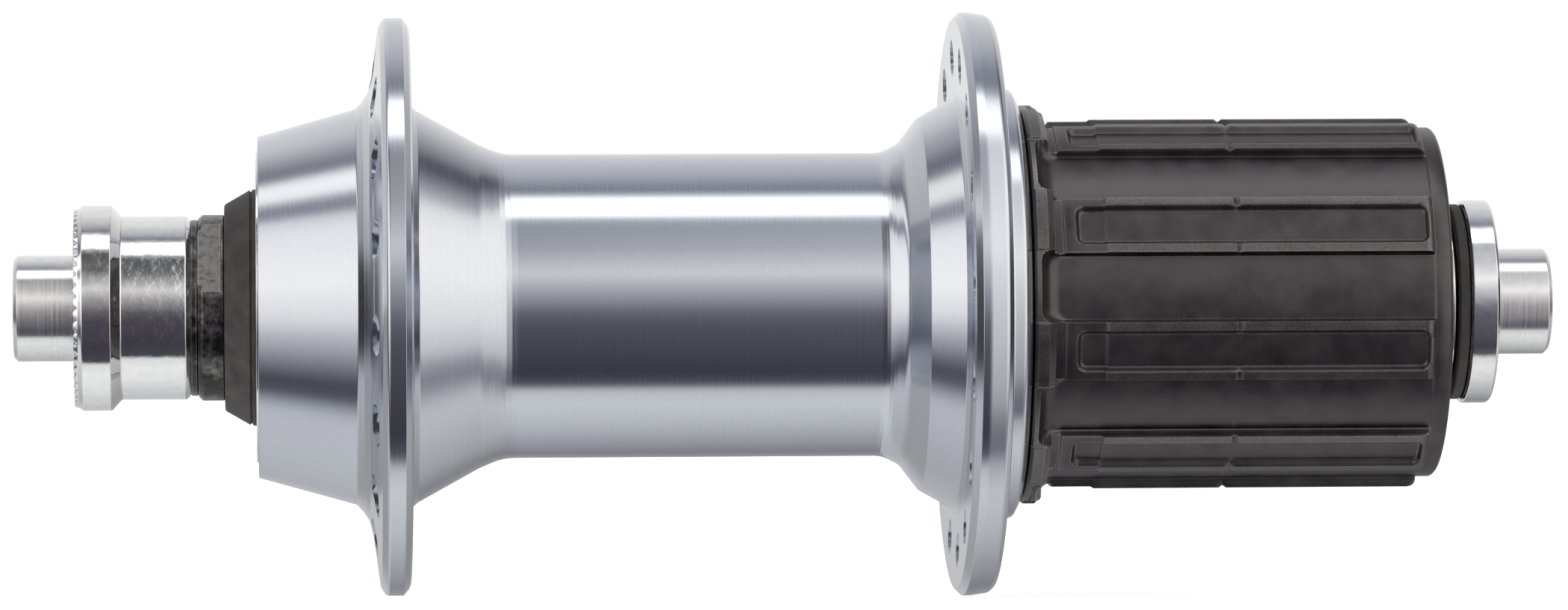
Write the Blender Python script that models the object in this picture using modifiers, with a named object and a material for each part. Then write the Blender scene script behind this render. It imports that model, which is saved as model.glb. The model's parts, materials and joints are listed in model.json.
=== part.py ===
"""Rear bicycle hub for 32 spokes, with a splined freehub and a hollow quick-release axle.

The hub axis is world X, with the freehub towards +X and the origin midway between the locknut faces.
Sizes are millimetres, turned into metres by MM. Outlines are (x, r) points: place along the axis, radius.
Angles are degrees about +X, from +Y towards +Z.
"""

import math

import bmesh
import bpy
from mathutils import Matrix

MM = 0.001

# Driving dimensions
OVER_LOCKNUTS = 130.0
AXLE_LENGTH = 141.0
AXLE_RADIUS = 4.85
AXLE_BORE_RADIUS = 2.65
THREAD_RADIUS = 5.05

BARREL_RADIUS = 13.92
BARREL_BORE_RADIUS = 11.9
LEFT_RIM_RADIUS = 26.46
RIGHT_RIM_RADIUS = 26.8
SHELL_LEFT_END = -48.25
SHELL_RIGHT_END = 21.3

SPOKES_PER_FLANGE = 16
SPOKE_HOLE_RADIUS = 1.35
LEFT_SPOKE_CIRCLE = 22.0
RIGHT_SPOKE_CIRCLE = 22.7
LEFT_SPOKE_PHASE = 6.7

BALL_RADIUS = 3.175
BALL_CLEARANCE = 0.275
BALL_CIRCLE = 9.75
BALLS_PER_SIDE = 9
LEFT_BALL_X = -44.5
RIGHT_BALL_X = 55.0

SMALL_BALL_RADIUS = 1.5875
SMALL_BALL_CLEARANCE = 0.12
SMALL_BALL_CIRCLE = 13.0
SMALL_BALLS_PER_ROW = 20
INNER_ROW_X = 25.5
OUTER_ROW_X = 49.6

FREEHUB_LEFT_END = 21.6
FREEHUB_RIGHT_END = 59.8
STOP_FACE_X = 23.5
STOP_FACE_INNER_RADIUS = 17.2
SPLINE_START_X = 24.45
SPLINE_END_X = 58.15
RIDGE_RADIUS = 17.05
VALLEY_RADIUS = 16.15
SPLINES = 9
SPLINE_PHASE = 35.0
RIDGE_WIDTH = 19.0
KEY_RIDGE_WIDTH = 24.0

RATCHET_TEETH = 24
RATCHET_ROOT_RADIUS = 14.1
RATCHET_CUT_RADIUS = 12.6
RATCHET_START_X = 28.0
RATCHET_END_X = 35.6

PAWL_PIVOT_RADIUS = 10.9
PAWL_ANGLES = (61.2, 241.2)
PAWL_START_X = 29.2
PAWL_END_X = 34.4
PAWL_BARREL_RADIUS = 1.4
PAWL_REACH = 6.2
PAWL_GAP = 0.3
SPRING_X = 35.4

SHELL_STEPS = 40
FREEHUB_STEPS = 45
RING_STEPS = 24

# Colour, roughness and metallic value of each material
FINISHES = {
    "anodised_aluminium": ((0.56, 0.59, 0.65, 1), 0.30, 1.0),
    "chromed_steel": ((0.80, 0.81, 0.83, 1), 0.12, 1.0),
    "blackened_steel": ((0.03, 0.03, 0.03, 1), 0.45, 1.0),
    "freehub_steel": ((0.06, 0.055, 0.058, 1), 0.50, 1.0),
    "ground_steel": ((0.62, 0.62, 0.63, 1), 0.25, 1.0),
    "bearing_steel": ((0.85, 0.85, 0.86, 1), 0.06, 1.0),
    "seal_rubber": ((0.02, 0.02, 0.02, 1), 0.70, 0.0),
}


def clear_scene():
    """Removes whatever the file starts with."""
    for old in list(bpy.data.objects):
        bpy.data.objects.remove(old)


def new_collection(name):
    made = bpy.data.collections.new(name)
    bpy.context.scene.collection.children.link(made)
    return made


def make_finishes():
    """One Principled BSDF material for each entry of FINISHES."""
    made = {}
    for name, (colour, roughness, metallic) in FINISHES.items():
        finish = bpy.data.materials.new(name)
        finish.use_nodes = True
        shader = finish.node_tree.nodes["Principled BSDF"]
        shader.inputs["Base Color"].default_value = colour
        shader.inputs["Roughness"].default_value = roughness
        shader.inputs["Metallic"].default_value = metallic
        made[name] = finish
    return made


def add_empty(name, x=0.0, parent=None):
    """An empty on the hub axis that a body's pieces hang from."""
    empty = bpy.data.objects.new(name, None)
    empty.location = (x * MM, 0, 0)
    PARTS.objects.link(empty)
    if parent:
        empty.parent = parent
        empty.matrix_parent_inverse = parent.matrix_world.inverted()
    return empty


def hang(piece, parent, finish):
    """Puts a visible piece in the hub's collection, under its body's empty."""
    PARTS.objects.link(piece)
    piece.parent = parent
    piece.data.materials.append(FINISH[finish])
    return piece


def as_cutter(tool):
    """Keeps a Boolean's tool out of the model."""
    CUTTERS.objects.link(tool)
    tool.hide_render = True
    tool.display_type = "WIRE"
    return tool


def combine(piece, tool, operation):
    change = piece.modifiers.new(tool.name, "BOOLEAN")
    change.operation = operation
    change.object = tool


def arc(x, r, radius, start, end, parts=4):
    """Points of an arc in the (x, r) plane, with angles from +x towards +r."""
    turns = [math.radians(start + (end - start) * i / parts) for i in range(parts + 1)]
    return [(x + radius * math.cos(a), r + radius * math.sin(a)) for a in turns]


def signed_area(outline):
    pairs = zip(outline, outline[1:] + outline[:1])
    return sum(ax * br - bx * ar for (ax, ar), (bx, br) in pairs) / 2


def turned(name, outline, steps=RING_STEPS):
    """A closed (x, r) outline turned about the hub axis by a Screw modifier."""
    points = outline if signed_area(outline) > 0 else outline[::-1]
    mesh = bpy.data.meshes.new(name)
    corners = [(x * MM, r * MM, 0) for x, r in points]
    edges = [(i, (i + 1) % len(points)) for i in range(len(points))]
    mesh.from_pydata(corners, edges, [])
    piece = bpy.data.objects.new(name, mesh)
    turn = piece.modifiers.new("turn", "SCREW")
    turn.axis = "X"
    turn.steps = steps
    turn.render_steps = steps
    turn.use_merge_vertices = True
    turn.merge_threshold = 0.00001
    return piece


def as_object(name, bm):
    bmesh.ops.recalc_face_normals(bm, faces=bm.faces)
    mesh = bpy.data.meshes.new(name)
    bm.to_mesh(mesh)
    bm.free()
    return bpy.data.objects.new(name, mesh)


def add_prism(bm, outline, start_x, end_x):
    """A flat (y, z) outline extruded along X."""
    base = [bm.verts.new((start_x * MM, y * MM, z * MM)) for y, z in outline]
    made = bmesh.ops.extrude_face_region(bm, geom=[bm.faces.new(base)])
    moved = [v for v in made["geom"] if isinstance(v, bmesh.types.BMVert)]
    bmesh.ops.translate(bm, verts=moved, vec=((end_x - start_x) * MM, 0, 0))


def polar(radius, angle):
    turn = math.radians(angle)
    return radius * math.cos(turn), radius * math.sin(turn)


def add_sector(bm, start_x, end_x, floor_radius, top_radius, centre, width, parts=4):
    """A slice of a tube: from floor_radius out to top_radius, width degrees wide."""
    floor = [polar(floor_radius, centre + width * (i / parts - 0.5)) for i in range(parts + 1)]
    top = [polar(top_radius, centre + width * (0.5 - i / 2)) for i in range(3)]
    add_prism(bm, floor + top, start_x, end_x)


def race_arc(ball_x, start, end):
    """The bearing surface of a cup or a cone, a little clear of its large balls."""
    return arc(ball_x, BALL_CIRCLE, BALL_RADIUS + BALL_CLEARANCE, start, end)


def small_race_arc(row_x, start, end):
    """The same for one of the freehub's rows of small balls."""
    reach = SMALL_BALL_RADIUS + SMALL_BALL_CLEARANCE
    return arc(row_x, SMALL_BALL_CIRCLE, reach, start, end, 3)


# Pieces that stay still with the bicycle's frame


def build_axle(body):
    end = AXLE_LENGTH / 2
    outline = [
        (-end, AXLE_BORE_RADIUS),
        (-end, AXLE_RADIUS - 0.35),
        (-end + 0.35, AXLE_RADIUS),
        (end - 0.35, AXLE_RADIUS),
        (end, AXLE_RADIUS - 0.35),
        (end, AXLE_BORE_RADIUS),
    ]
    hang(turned("axle", outline), body, "chromed_steel")


def build_left_locknut(body):
    face = -OVER_LOCKNUTS / 2
    outline = [
        (face, THREAD_RADIUS),
        (face, 9.0),
        (face + 0.5, 9.38),
        (-61.62, 9.38),
        (-60.7, 8.38),
        (-54.8, 8.38),
        (-54.5, 8.1),
        (-54.5, THREAD_RADIUS),
    ]
    hang(turned("left_locknut", outline), body, "chromed_steel")


def ring_outline(left, right, inner_radius, outer_radius):
    """The square section of a plain ring."""
    return [
        (left, inner_radius),
        (left, outer_radius),
        (right, outer_radius),
        (right, inner_radius),
    ]


def build_left_washer(body):
    outline = ring_outline(-54.35, -53.75, THREAD_RADIUS, 8.1)
    hang(turned("left_washer", outline), body, "blackened_steel")


def cut_wrench_flats(cone):
    """Two flats, 15 mm across, for a cone wrench."""
    bm = bmesh.new()
    for side in (1, -1):
        outline = [(-10, 7.5 * side), (10, 7.5 * side), (10, 10 * side), (-10, 10 * side)]
        add_prism(bm, outline, -54.5, -51.35)
    flats = as_cutter(as_object("wrench_flats", bm))
    flats.rotation_euler.x = math.radians(53)
    combine(cone, flats, "DIFFERENCE")


def build_left_cone(body):
    outline = [
        (-53.6, THREAD_RADIUS),
        (-53.6, 8.2),
        (-53.3, 8.5),
        (-51.4, 8.5),
        (-51.4, 7.2),
        (-48.4, 7.2),
        (-48.4, 8.57),
        *race_arc(LEFT_BALL_X, 200, 270),
        (LEFT_BALL_X + 2.2, 6.3),
        (LEFT_BALL_X + 2.7, 5.9),
        (LEFT_BALL_X + 2.7, THREAD_RADIUS),
    ]
    cone = hang(turned("left_cone", outline), body, "blackened_steel")
    cut_wrench_flats(cone)


def build_left_seal(body):
    outline = [
        (-51.25, 7.5),
        (-51.25, 9.3),
        (-51.05, 9.6),
        (-49.05, 10.75),
        (-48.75, 10.75),
        (-48.75, 7.5),
    ]
    hang(turned("left_seal", outline), body, "seal_rubber")


def build_right_cone(body):
    outline = [
        (RIGHT_BALL_X - 2.7, THREAD_RADIUS),
        (RIGHT_BALL_X - 2.7, 5.9),
        (RIGHT_BALL_X - 2.2, 6.3),
        *race_arc(RIGHT_BALL_X, 270, 340),
        (58.9, 8.57),
        (58.9, 8.2),
        (59.4, 8.2),
        (59.4, THREAD_RADIUS),
    ]
    hang(turned("right_cone", outline), body, "ground_steel")


def build_right_spacer(body):
    outline = ring_outline(59.55, 61.1, THREAD_RADIUS, 8.0)
    hang(turned("right_spacer", outline), body, "chromed_steel")


def build_right_seal(body):
    outline = ring_outline(61.25, 62.35, THREAD_RADIUS, 8.9)
    hang(turned("right_seal", outline), body, "seal_rubber")


def build_right_locknut(body):
    face = OVER_LOCKNUTS / 2
    outline = [
        (62.5, THREAD_RADIUS),
        (62.5, 9.0),
        (62.85, 9.35),
        (face - 0.5, 9.35),
        (face, 9.0),
        (face, THREAD_RADIUS),
    ]
    hang(turned("right_locknut", outline), body, "chromed_steel")


# Pieces that turn with the wheel


def shell_outline():
    """The shell's outside from left to right, then its bores from right to left."""
    return [
        (SHELL_LEFT_END, 15.35),
        (-47.85, 15.72),
        (-39.4, 18.1),
        (-38.7, 18.7),
        (-38.2, 19.4),
        (-37.9, 20.6),
        (-37.1, 25.2),
        (-36.95, 26.1),
        (-36.6, LEFT_RIM_RADIUS),
        (-34.95, LEFT_RIM_RADIUS),
        (-34.4, 26.0),
        (-34.4, 18.6),
        (-34.1, 18.05),
        (-28.1, 14.85),
        (-26.6, 14.2),
        (-25.0, BARREL_RADIUS),
        (8.35, BARREL_RADIUS),
        (9.5, 14.16),
        (10.6, 14.9),
        (12.3, 17.1),
        (15.3, 18.8),
        (15.62, 19.2),
        (15.62, 26.3),
        (16.24, RIGHT_RIM_RADIUS),
        (18.4, RIGHT_RIM_RADIUS),
        (19.0, 26.3),
        (19.0, 20.6),
        (19.4, 19.9),
        (20.65, 19.75),
        (SHELL_RIGHT_END, 18.6),
        (SHELL_RIGHT_END, 17.6),
        (20.1, 17.6),
        (20.1, 16.0),
        (SHELL_RIGHT_END, 16.0),
        (SHELL_RIGHT_END, 12.0),
        (15.2, 12.0),
        (15.2, 7.3),
        (8.5, 7.3),
        (6.0, BARREL_BORE_RADIUS),
        (-39.8, BARREL_BORE_RADIUS),
        (-39.8, 14.5),
        (SHELL_LEFT_END, 14.5),
    ]


def spoke_hole_cutter(name, circle, phase, start_x, end_x):
    """One drill for each spoke hole of a flange."""
    bm = bmesh.new()
    lie_along_x = Matrix.Rotation(math.radians(90), 4, "Y")
    for hole in range(SPOKES_PER_FLANGE):
        y, z = polar(circle, phase + 360 * hole / SPOKES_PER_FLANGE)
        place = Matrix.Translation(((start_x + end_x) / 2 * MM, y * MM, z * MM))
        bmesh.ops.create_cone(
            bm,
            cap_ends=True,
            segments=10,
            radius1=SPOKE_HOLE_RADIUS * MM,
            radius2=SPOKE_HOLE_RADIUS * MM,
            depth=(end_x - start_x) * MM,
            matrix=place @ lie_along_x,
        )
    return as_cutter(as_object(name, bm))


def build_hub_shell(body):
    shell = hang(turned("hub_shell", shell_outline(), SHELL_STEPS), body, "anodised_aluminium")
    right_phase = LEFT_SPOKE_PHASE + 180 / SPOKES_PER_FLANGE
    left = spoke_hole_cutter("left_spoke_drills", LEFT_SPOKE_CIRCLE, LEFT_SPOKE_PHASE, -39, -33)
    right = spoke_hole_cutter("right_spoke_drills", RIGHT_SPOKE_CIRCLE, right_phase, 14, 21)
    combine(shell, left, "DIFFERENCE")
    combine(shell, right, "DIFFERENCE")


def build_left_cup(body):
    outline = [
        (-47.0, 14.2),
        (-47.0, 13.2),
        *race_arc(LEFT_BALL_X, 90, 0),
        (LEFT_BALL_X + BALL_RADIUS + BALL_CLEARANCE, 9.2),
        (-40.1, 9.2),
        (-40.1, 14.2),
    ]
    hang(turned("left_bearing_cup", outline), body, "ground_steel")


def build_left_dust_cap(body):
    outline = [
        (-48.55, 11.2),
        (-48.55, 14.2),
        (-47.55, 14.2),
        (-47.55, 13.6),
        (-48.05, 13.6),
        (-48.05, 11.2),
    ]
    hang(turned("left_dust_cap", outline), body, "chromed_steel")


def build_freehub_seal(body):
    outline = ring_outline(20.4, 21.45, 16.2, 17.4)
    hang(turned("freehub_seal", outline), body, "seal_rubber")


def pawl_arc(radius, start, end, parts=6):
    """Points round a pawl's pivot in its own (outward, forward) plane."""
    return [polar(radius, start + (end - start) * i / parts) for i in range(parts + 1)]


def place_at_pawl(tool, angle):
    y, z = polar(PAWL_PIVOT_RADIUS, angle)
    tool.location = (0, y * MM, z * MM)
    tool.rotation_euler.x = math.radians(angle)


def cut_pawl_pocket(inner_body, number, angle):
    """A seat round the pawl's barrel, and an open trough under its arm."""
    seat = PAWL_BARREL_RADIUS + PAWL_GAP
    end = PAWL_REACH + 2 * PAWL_GAP
    outline = pawl_arc(seat, 30, -180, 7) + [(-seat, end), (5, end), (5, 1.0)]
    bm = bmesh.new()
    add_prism(bm, outline[::-1], PAWL_START_X - PAWL_GAP, PAWL_END_X + PAWL_GAP)
    pocket = as_cutter(as_object(f"pawl_pocket_{number}", bm))
    place_at_pawl(pocket, angle)
    combine(inner_body, pocket, "DIFFERENCE")


def build_inner_body(body):
    outline = [
        (15.4, 7.3),
        (15.4, 11.7),
        (FREEHUB_LEFT_END, 11.7),
        (FREEHUB_LEFT_END, 15.3),
        (INNER_ROW_X - SMALL_BALL_RADIUS - SMALL_BALL_CLEARANCE, 15.3),
        *small_race_arc(INNER_ROW_X, 180, 270),
        (28.3, 11.29),
        (28.7, 12.4),
        (35.0, 12.4),
        (35.0, 11.5),
        (35.8, 11.5),
        (35.8, 12.4),
        (36.2, 12.4),
        (36.5, 11.1),
        (48.8, 11.1),
        (48.8, 10.2),
        (44.7, 10.2),
        (44.7, 8.4),
        (24.0, 8.4),
        (24.0, 7.3),
    ]
    inner = hang(turned("freehub_inner_body", outline), body, "ground_steel")
    for number, angle in enumerate(PAWL_ANGLES, 1):
        cut_pawl_pocket(inner, number, angle)


def build_fixing_bolt(body):
    outline = [
        (8.9, 5.6),
        (8.9, 6.8),
        (9.2, 7.0),
        (24.2, 7.0),
        (24.2, 8.1),
        (29.2, 8.1),
        (29.2, 5.6),
    ]
    bolt = hang(turned("freehub_fixing_bolt", outline), body, "ground_steel")
    across_flats = 12.0
    corner = across_flats / 2 / math.cos(math.radians(30))
    bm = bmesh.new()
    add_prism(bm, [polar(corner, 60 * side + 10) for side in range(6)], 24.8, 30)
    combine(bolt, as_cutter(as_object("bolt_socket", bm)), "DIFFERENCE")


def build_locking_cup(body):
    outline = [
        (45.0, 8.7),
        (45.0, 9.9),
        (49.0, 9.9),
        (49.0, 11.29),
        *small_race_arc(OUTER_ROW_X, 270, 360),
        (OUTER_ROW_X + SMALL_BALL_RADIUS + SMALL_BALL_CLEARANCE, 14.6),
        (57.9, 14.6),
        (57.9, 13.2),
        *race_arc(RIGHT_BALL_X, 90, 180),
        (RIGHT_BALL_X - BALL_RADIUS - BALL_CLEARANCE, 8.7),
    ]
    hang(turned("locking_cup", outline), body, "ground_steel")


def build_pawl_spring(body):
    """A round wire clip, open for 30 degrees."""
    line = bpy.data.curves.new("pawl_spring", "CURVE")
    line.dimensions = "3D"
    line.bevel_depth = 0.28 * MM
    line.bevel_resolution = 1
    line.use_fill_caps = True
    spline = line.splines.new("POLY")
    points = 25
    spline.points.add(points - 1)
    for i in range(points):
        y, z = polar(12.0, 15 + 330 * i / (points - 1))
        spline.points[i].co = (SPRING_X * MM, y * MM, z * MM, 1)
    hang(bpy.data.objects.new("pawl_spring", line), body, "ground_steel")


# Bearing balls


def build_balls(side, x, body):
    """The large balls of one side, each its own piece round the axle."""
    bm = bmesh.new()
    bmesh.ops.create_icosphere(bm, subdivisions=2, radius=BALL_RADIUS * MM)
    shared = as_object(f"{side}_ball_1", bm)
    for number in range(BALLS_PER_SIDE):
        ball = shared
        if number:
            ball = bpy.data.objects.new(f"{side}_ball_{number + 1}", shared.data)
        y, z = polar(BALL_CIRCLE, 90 + 360 * number / BALLS_PER_SIDE)
        PARTS.objects.link(ball)
        ball.parent = body
        ball.location = ((x - body.location.x / MM) * MM, y * MM, z * MM)
    shared.data.materials.append(FINISH["bearing_steel"])


def build_small_row(name, x, body):
    """A full row of small balls, joined by a thin cage ring."""
    half = 0.3
    outline = [
        (x - half, SMALL_BALL_CIRCLE - half),
        (x - half, SMALL_BALL_CIRCLE + half),
        (x + half, SMALL_BALL_CIRCLE + half),
        (x + half, SMALL_BALL_CIRCLE - half),
    ]
    cage = hang(turned(name, outline, 2 * SMALL_BALLS_PER_ROW), body, "bearing_steel")
    bm = bmesh.new()
    for number in range(SMALL_BALLS_PER_ROW):
        y, z = polar(SMALL_BALL_CIRCLE, 360 * (number + 0.25) / SMALL_BALLS_PER_ROW)
        place = Matrix.Translation((x * MM, y * MM, z * MM))
        bmesh.ops.create_uvsphere(
            bm, u_segments=6, v_segments=5, radius=SMALL_BALL_RADIUS * MM, matrix=place
        )
    combine(cage, as_cutter(as_object(f"{name}_set", bm)), "UNION")


# The freehub and its pawls


def freehub_outline():
    return [
        (FREEHUB_LEFT_END, 15.6),
        (FREEHUB_LEFT_END, 18.1),
        (FREEHUB_LEFT_END + 0.3, 18.4),
        (22.9, 18.4),
        (STOP_FACE_X, 17.8),
        (STOP_FACE_X, STOP_FACE_INNER_RADIUS),
        (STOP_FACE_X - 0.2, 16.6),
        (SPLINE_START_X, 16.6),
        (SPLINE_START_X, RIDGE_RADIUS),
        (SPLINE_END_X, RIDGE_RADIUS),
        (SPLINE_END_X, 16.1),
        (FREEHUB_RIGHT_END - 0.3, 16.1),
        (FREEHUB_RIGHT_END, 15.8),
        (FREEHUB_RIGHT_END, 15.0),
        (OUTER_ROW_X + 1, 15.0),
        *small_race_arc(OUTER_ROW_X, 90, 180),
        *small_race_arc(INNER_ROW_X, 0, 90),
        (24.6, 15.6),
    ]


def ridge_width(number):
    """The last ridge is the wide one that keys the cassette."""
    return KEY_RIDGE_WIDTH if number % SPLINES == SPLINES - 1 else RIDGE_WIDTH


def cut_valleys(freehub):
    """The troughs between neighbouring ridges."""
    pitch = 360 / SPLINES
    bm = bmesh.new()
    for number in range(SPLINES):
        start = SPLINE_PHASE + pitch * number + ridge_width(number) / 2
        end = SPLINE_PHASE + pitch * (number + 1) - ridge_width(number + 1) / 2
        middle = (start + end) / 2
        add_sector(bm, 22.6, SPLINE_END_X + 0.6, VALLEY_RADIUS, 20, middle, end - start)
    combine(freehub, as_cutter(as_object("spline_valleys", bm)), "DIFFERENCE")


def cut_ridge_pockets(freehub):
    """A shallow pocket along each ridge, open at the outer end."""
    bm = bmesh.new()
    for number in range(SPLINES):
        centre = SPLINE_PHASE + 360 / SPLINES * number
        width = ridge_width(number) - 8.5
        add_sector(bm, 27.6, SPLINE_END_X + 0.6, 16.55, 20, centre, width, 2)
    combine(freehub, as_cutter(as_object("ridge_pockets", bm)), "DIFFERENCE")


def cut_ratchet(freehub):
    """Internal teeth: each ramp ends at a steep face that pushes a pawl."""
    pitch = 360 / RATCHET_TEETH
    outline = []
    for tooth in range(RATCHET_TEETH):
        outline.append(polar(RATCHET_CUT_RADIUS, pitch * tooth))
        outline.append(polar(RATCHET_ROOT_RADIUS, pitch * (tooth + 1)))
    bm = bmesh.new()
    add_prism(bm, outline, RATCHET_START_X, RATCHET_END_X)
    combine(freehub, as_cutter(as_object("ratchet_teeth", bm)), "DIFFERENCE")


def build_freehub_body(body):
    freehub = hang(turned("freehub_body", freehub_outline(), FREEHUB_STEPS), body, "freehub_steel")
    cut_valleys(freehub)
    cut_ridge_pockets(freehub)
    cut_ratchet(freehub)


def build_freehub_dust_cap(body):
    outline = ring_outline(58.3, 59.1, 9.2, 14.7)
    hang(turned("freehub_dust_cap", outline), body, "blackened_steel")


def build_pawl(number, angle, body):
    """A pawl held down clear of the teeth, its back hollowed to pass their crests as it rises."""
    arm = [(-1.2, PAWL_REACH - 1.1), (0.1, PAWL_REACH), (0.35, 2.8)]
    outline = pawl_arc(PAWL_BARREL_RADIUS, 20, -180) + arm
    bm = bmesh.new()
    add_prism(bm, outline[::-1], PAWL_START_X, PAWL_END_X)
    pawl = hang(as_object(f"pawl_{number}", bm), body, "ground_steel")
    place_at_pawl(pawl, angle)


def build_hub():
    """Every body hangs from an empty on the hub axis."""
    axle_set = add_empty("axle_set")
    for build in (
        build_axle,
        build_left_locknut,
        build_left_washer,
        build_left_cone,
        build_left_seal,
        build_right_cone,
        build_right_spacer,
        build_right_seal,
        build_right_locknut,
    ):
        build(axle_set)
    shell_set = add_empty("shell_set", parent=axle_set)
    for build in (
        build_hub_shell,
        build_left_cup,
        build_left_dust_cap,
        build_freehub_seal,
        build_inner_body,
        build_fixing_bolt,
        build_locking_cup,
        build_pawl_spring,
    ):
        build(shell_set)
    build_balls("left", LEFT_BALL_X, add_empty("left_balls", LEFT_BALL_X, axle_set))
    build_balls("right", RIGHT_BALL_X, add_empty("right_balls", RIGHT_BALL_X, axle_set))
    freehub_set = add_empty("freehub_set", parent=shell_set)
    build_freehub_body(freehub_set)
    build_freehub_dust_cap(freehub_set)
    build_small_row("freehub_inner_row", INNER_ROW_X, shell_set)
    build_small_row("freehub_outer_row", OUTER_ROW_X, shell_set)
    for number, angle in enumerate(PAWL_ANGLES, 1):
        build_pawl(number, angle, shell_set)


clear_scene()
PARTS = new_collection("rear_hub")
CUTTERS = new_collection("cutters")
FINISH = make_finishes()
build_hub()
for made in PARTS.objects:
    if made.type == "MESH":
        made.data.shade_smooth()
        made.data.set_sharp_from_angle(angle=math.radians(35))
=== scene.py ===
"""The looks of the rear hub: finely turned and milled pieces, their finishes, the camera and the studio.

Sizes are millimetres, turned into metres by MM. Outlines are (x, r) points: place along the hub axis,
radius, and sometimes the radius that rounds the corner. Angles are degrees about +X, from +Y towards +Z.
"""

import json
import math

import bmesh
import bpy
from mathutils import Matrix, Vector


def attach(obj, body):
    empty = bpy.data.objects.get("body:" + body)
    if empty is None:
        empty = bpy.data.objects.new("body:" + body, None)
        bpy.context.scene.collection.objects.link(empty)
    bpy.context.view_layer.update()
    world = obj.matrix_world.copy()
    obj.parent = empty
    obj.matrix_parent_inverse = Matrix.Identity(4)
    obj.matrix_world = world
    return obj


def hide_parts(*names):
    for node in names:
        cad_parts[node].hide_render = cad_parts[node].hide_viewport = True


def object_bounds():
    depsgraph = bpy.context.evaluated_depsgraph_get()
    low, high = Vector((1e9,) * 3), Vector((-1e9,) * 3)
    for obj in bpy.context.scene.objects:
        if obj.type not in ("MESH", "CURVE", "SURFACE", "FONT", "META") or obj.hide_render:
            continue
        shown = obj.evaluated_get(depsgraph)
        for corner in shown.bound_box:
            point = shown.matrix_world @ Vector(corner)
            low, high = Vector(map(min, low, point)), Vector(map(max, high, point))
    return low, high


MM = 0.001

# Fineness of the surfaces: flat steps in a full turn, degrees and parts of an arc, how close a straight's
# extra points stand to its ends, and the angle from which an edge looks sharp
STEPS = 192
SHELL_STEPS = 320
CONE_STEPS = 360
STEPS_PER_KNURL_TOOTH = 10
SPOKE_HOLE_STEPS = 28
LARGE_BALL_FINENESS = 4
SMALL_BALL_FINENESS = 3
ARC_STEP = 7.0
RACE_PARTS = 10
HELD_LENGTH = 0.3
HELD_GAP = 0.03
SHARP_ANGLE = 32.0

# Camera and studio
CAMERA_X = -46.45
CAMERA_DISTANCE = 776.6
CAMERA_ROLL = -0.288
CAMERA_LENS = 194.3
CAMERA_SENSOR = 36.0
FLOOR_GAP = 0.15
FLOOR_SIZE = 8000.0

# Driving dimensions, as in the solid model
AXLE_END = 70.5
AXLE_RADIUS = 4.85
AXLE_BORE = 2.65
THREAD_RADIUS = 5.05
LOCKNUT_FACE = 65.0

SPOKES_PER_FLANGE = 16
SPOKE_HOLE_RADIUS = 1.35
SPOKE_HOLE_FLARE = 0.3
LEFT_FLANGE = (-37.4, -34.2)
RIGHT_FLANGE = (15.84, 19.0)
LEFT_SPOKE_CIRCLE = 22.0
RIGHT_SPOKE_CIRCLE = 22.7
LEFT_SPOKE_PHASE = 6.7

BALL_RADIUS = 3.175
BALL_CLEARANCE = 0.275
BALL_CIRCLE = 9.75
BALLS_PER_SIDE = 9
FIRST_BALL_ANGLE = 90.0
LEFT_BALL_X = -44.5
RIGHT_BALL_X = 55.0

SMALL_BALL_RADIUS = 1.5875
SMALL_BALL_CLEARANCE = 0.12
SMALL_BALL_CIRCLE = 13.0
SMALL_BALLS_PER_ROW = 20
SMALL_BALL_PHASE = 0.25
CAGE_HALF = 0.3
INNER_ROW_X = 25.5
OUTER_ROW_X = 49.6

SPLINES = 9
SPLINE_PHASE = 35.0
RIDGE_WIDTH = 19.0
KEY_RIDGE_WIDTH = 24.0
RIDGE_RADIUS = 17.05
VALLEY_RADIUS = 16.15
END_RING_RADIUS = 16.1
FREEHUB_BORE = 13.0
RATCHET_TEETH = 24
RATCHET_ROOT = 14.1
RATCHET_CUT = 12.6
RATCHET_START = 28.0
RATCHET_END = 35.6

# Details that the solid model leaves plain
FLATS_HALF = 7.5
FLATS_ANGLE = 143.0
FLATS_END = -51.6
KNURL_TEETH = 52
KNURL_DEPTH = 0.3
KNURL_INNER_RADIUS = 6.2
RIGHT_KNURL_RADIUS = 8.7

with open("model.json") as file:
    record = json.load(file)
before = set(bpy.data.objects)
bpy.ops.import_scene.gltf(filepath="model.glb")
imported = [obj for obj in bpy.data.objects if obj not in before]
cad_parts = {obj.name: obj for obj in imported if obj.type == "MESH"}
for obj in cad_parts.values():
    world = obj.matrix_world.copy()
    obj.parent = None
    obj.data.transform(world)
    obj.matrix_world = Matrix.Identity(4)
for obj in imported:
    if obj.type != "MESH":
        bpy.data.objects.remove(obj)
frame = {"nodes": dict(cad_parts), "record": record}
CAD_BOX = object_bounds()
RECORD = frame["record"]
BODY_OF = {node: body for body, nodes in RECORD["behaviour"]["bodies"].items() for node in nodes}
SLOT_OF = {part["node"]: part["material_slot"] for part in RECORD["subparts"]}


# Outlines


def arc(x, r, radius, start, end):
    """Points of an arc in the (x, r) plane, with angles from +x towards +r."""
    turns = [math.radians(start + (end - start) * i / RACE_PARTS) for i in range(RACE_PARTS + 1)]
    return [(x + radius * math.cos(a), r + radius * math.sin(a)) for a in turns]


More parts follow.
